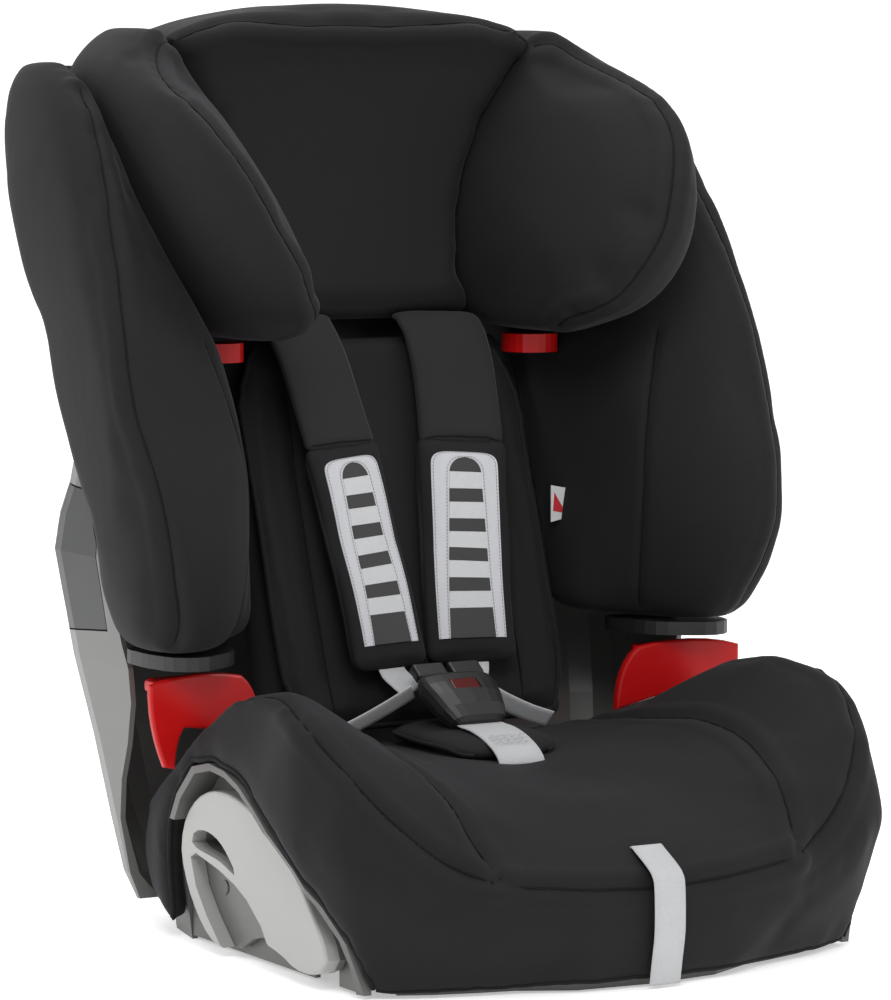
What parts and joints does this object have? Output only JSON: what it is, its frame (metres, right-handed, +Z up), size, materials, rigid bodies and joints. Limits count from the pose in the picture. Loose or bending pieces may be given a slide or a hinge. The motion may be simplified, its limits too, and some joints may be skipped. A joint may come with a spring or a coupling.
{
  "type": "child car seat",
  "caption": "High-backed child car seat with padded side wings, height-adjustable winged headrest, reclining backrest, five-point harness, belt guides and fold-down recline foot.",
  "frame": {"origin": "on the floor plane that the base stands on, in the seat's mirror plane, near the middle of the base's footprint: on the underside of the base's keel strip", "axes": "+Z up, +X to the occupant's left (the viewer's right from the front), -Y forward, the way the occupant faces"},
  "size_m": [0.542, 0.5637, 0.672],
  "materials": {
    "fabric_black": "soft black knit with a slight sheen",
    "fabric_charcoal": "charcoal woven cover",
    "webbing_silver": "silver grey woven webbing",
    "reflective_trim": "light grey trim, stitched",
    "plastic_black": "moulded, fine grain",
    "shell_grey": "moulded, satin",
    "panel_grey": "moulded, fine grain",
    "foot_grey": "moulded, satin",
    "guide_red": "polished red",
    "steel": "satin zinc plated",
    "label_white": "woven tag, white and red"
  },
  "bodies": {
    "base": {"base_shell": "panel_grey", "seat_cover": "fabric_black", "hinge_rod": "steel", "crotch_strap": "webbing_silver", "crotch_pad": "fabric_black", "adjuster_frame": "plastic_black", "adjuster_strap": "webbing_silver", "side_panel_left": "panel_grey", "side_panel_right": "panel_grey", "foot_pin_left": "steel", "foot_pin_right": "steel"},
    "recline_foot": {"recline_foot_left": "foot_grey", "recline_foot_right": "foot_grey", "foot_cross_bar": "steel"},
    "adjuster_lever": {"adjuster_lever": "steel"},
    "backrest": {"back_shell": "shell_grey", "back_pad": "fabric_black", "insert_pad": "fabric_black", "top_rim_pad": "fabric_black", "buckle_body": "plastic_black", "side_tag": "label_white", "back_side_insert_left": "panel_grey", "back_side_insert_right": "panel_grey", "headrest_rod_left": "steel", "headrest_rod_right": "steel", "side_wing_left": "fabric_black", "side_wing_right": "fabric_black", "wing_base_left": "plastic_black", "wing_base_right": "plastic_black", "lap_belt_guide_left": "guide_red", "lap_belt_guide_right": "guide_red", "chest_pad_left": "fabric_charcoal", "chest_pad_right": "fabric_charcoal", "pad_trim_left": "reflective_trim", "pad_trim_right": "reflective_trim", "shoulder_strap_left": "webbing_silver", "shoulder_strap_right": "webbing_silver", "lap_strap_left": "webbing_silver", "lap_strap_right": "webbing_silver"},
    "buckle_button": {"buckle_button": "guide_red"},
    "tongues": {"tongue_left": "plastic_black", "tongue_right": "plastic_black"},
    "headrest": {"headrest_pad": "fabric_black", "headrest_carrier": "plastic_black", "headrest_wing_left": "fabric_black", "headrest_wing_right": "fabric_black", "strap_sleeve_left": "fabric_charcoal", "strap_sleeve_right": "fabric_charcoal", "shoulder_belt_guide_left": "guide_red", "shoulder_belt_guide_right": "guide_red"},
    "height_release": {"height_grip": "plastic_black", "height_link": "steel", "height_lock_bar": "steel"}
  },
  "joints": [
    {"name": "backrest_recline", "type": "hinge", "parent": "base", "child": "backrest", "pos_m": [0, 0.158, 0.03], "axis": [-1, 0, 0], "range_deg": [0, 10]},
    {"name": "headrest_height", "type": "slide", "parent": "backrest", "child": "headrest", "axis": [0, 0.319, 0.9478], "range_m": [0, 0.14], "deforming": ["shoulder_strap_left", "shoulder_strap_right"]},
    {"name": "height_grip_pull", "type": "slide", "parent": "headrest", "child": "height_release", "axis": [0, 0.319, 0.9478], "range_m": [0, 0.008], "stiffness_N_per_m": 600, "springref_m": -0.01},
    {"name": "recline_foot_swing", "type": "hinge", "parent": "base", "child": "recline_foot", "pos_m": [0, 0.026, 0.048], "axis": [1, 0, 0], "range_deg": [0, 15]},
    {"name": "tongue_release", "type": "slide", "parent": "backrest", "child": "tongues", "axis": [0, 0.8192, 0.5736], "range_m": [0, 0.013]},
    {"name": "buckle_press", "type": "slide", "parent": "backrest", "child": "buckle_button", "axis": [0, 0.5736, -0.8192], "range_m": [0, 0.0025], "stiffness_N_per_m": 1200, "springref_m": -0.001},
    {"name": "adjuster_press", "type": "slide", "parent": "base", "child": "adjuster_lever", "axis": [0, 0, -1], "range_m": [0, 0.005], "stiffness_N_per_m": 1000, "springref_m": -0.001}
  ]
}
